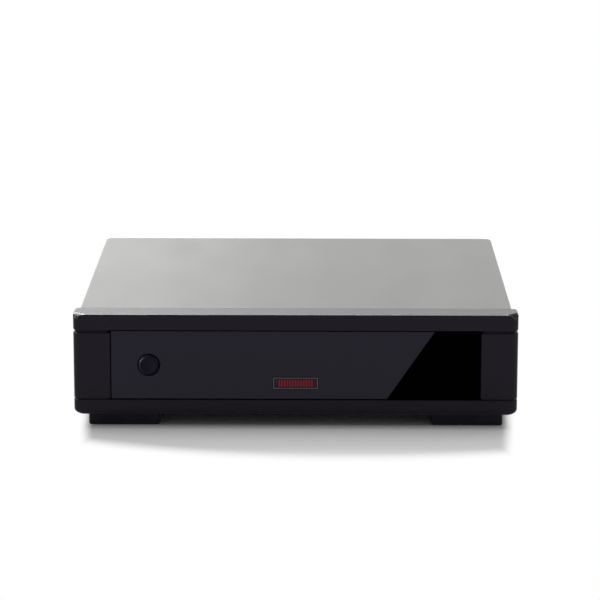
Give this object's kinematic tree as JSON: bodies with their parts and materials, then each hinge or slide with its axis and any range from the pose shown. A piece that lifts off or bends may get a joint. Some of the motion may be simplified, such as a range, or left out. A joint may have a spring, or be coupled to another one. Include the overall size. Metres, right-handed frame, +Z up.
{
  "type": "phono preamplifier",
  "caption": "Low box-shaped phono preamplifier: grey cover on a black bezel with a dark window, push button and indicator, phono sockets, power inlet and earth terminal behind.",
  "frame": {"origin": "on the floor under the middle of the bounding box", "axes": "+X to the right along the front, +Y from the front to the back, so the front faces -Y, +Z up"},
  "size_m": [0.18, 0.167, 0.0476],
  "materials": {
    "bezel_black": "satin black moulding",
    "window_black": "smoky dark panel, gloss",
    "gasket_foam": "closed foam",
    "indicator_red": "translucent dark red",
    "button_black": "satin black",
    "plunger_white": "plain moulding",
    "moulding_black": "plain moulding",
    "cover_grey": "satin light grey",
    "base_black": "fine textured black paint",
    "foot_rubber": "matt black rubber",
    "screw_black": "blackened steel",
    "screw_steel": "zinc plated",
    "panel_black": "fine textured black paint",
    "shell_nickel": "bright nickel",
    "insert_white": "plain white",
    "insert_red": "plain red",
    "contact_gold": "gold plated",
    "pin_nickel": "nickel plated brass",
    "terminal_brass": "gold plated brass",
    "tag_tin": "tinned",
    "lead_green": "insulated wire",
    "board_green": "solder resist",
    "standoff_brass": "turned brass",
    "led_red": "clear red resin",
    "can_black": "can in a black sleeve",
    "can_blue": "can in a blue sleeve",
    "film_red": "dipped film",
    "resistor_blue": "lacquered ceramic",
    "sink_black": "black anodised"
  },
  "bodies": {
    "case": {"front_bezel": "bezel_black", "front_window": "window_black", "window_gasket": "gasket_foam", "indicator_lens": "indicator_red", "power_switch": "moulding_black", "top_cover": "cover_grey", "base_tray": "base_black", "foot_front_left": "foot_rubber", "foot_front_right": "foot_rubber", "foot_rear_left": "foot_rubber", "foot_rear_right": "foot_rubber", "cover_screws": "screw_black", "bezel_screws": "screw_black", "rear_panel": "panel_black", "input_socket_block": "moulding_black", "output_socket_block": "moulding_black", "input_left_shell": "shell_nickel", "input_right_shell": "shell_nickel", "output_left_shell": "shell_nickel", "output_right_shell": "shell_nickel", "left_socket_inserts": "insert_white", "right_socket_inserts": "insert_red", "input_socket_contacts": "contact_gold", "output_socket_contacts": "contact_gold", "socket_screws": "screw_black", "power_jack_body": "moulding_black", "power_jack_pin": "pin_nickel", "power_jack_contact": "contact_gold", "earth_stud": "terminal_brass", "earth_solder_tag": "tag_tin", "earth_lock_nut": "tag_tin", "earth_lead": "lead_green", "main_board": "board_green", "front_board": "board_green", "board_header": "moulding_black", "board_standoffs": "standoff_brass", "board_screws": "screw_steel", "indicator_leds": "led_red", "led_spacers": "moulding_black", "smoothing_capacitors": "can_black", "signal_capacitors": "can_blue", "film_capacitors": "film_red", "resistors": "resistor_blue", "rectifier_diodes": "moulding_black", "transistors": "moulding_black", "amplifier_chips": "moulding_black", "voltage_regulators": "moulding_black", "heatsinks": "sink_black", "heatsink_screws": "screw_steel"},
    "power_button": {"power_button": "button_black", "switch_plunger": "plunger_white"},
    "earth_washer": {"earth_washer": "terminal_brass"},
    "earth_nut": {"earth_thumb_nut": "terminal_brass"}
  },
  "joints": [
    {"name": "power_button_push", "type": "slide", "parent": "case", "child": "power_button", "axis": [0, 1, 0], "range_m": [0, 0.002], "stiffness_N_per_m": 600, "springref_m": -0.001},
    {"name": "earth_nut_travel", "type": "slide", "parent": "case", "child": "earth_washer", "axis": [0, 1, 0], "range_m": [0, 0.0021]},
    {"name": "earth_nut_turn", "type": "hinge", "parent": "earth_washer", "child": "earth_nut", "pos_m": [0.024, 0.0784, 0.02655], "axis": [0, 1, 0], "range_deg": [0, 1085]}
  ],
  "couplings": [
    {"joint": "earth_nut_turn", "follows": "earth_nut_travel", "rad_per_m": 8976}
  ]
}
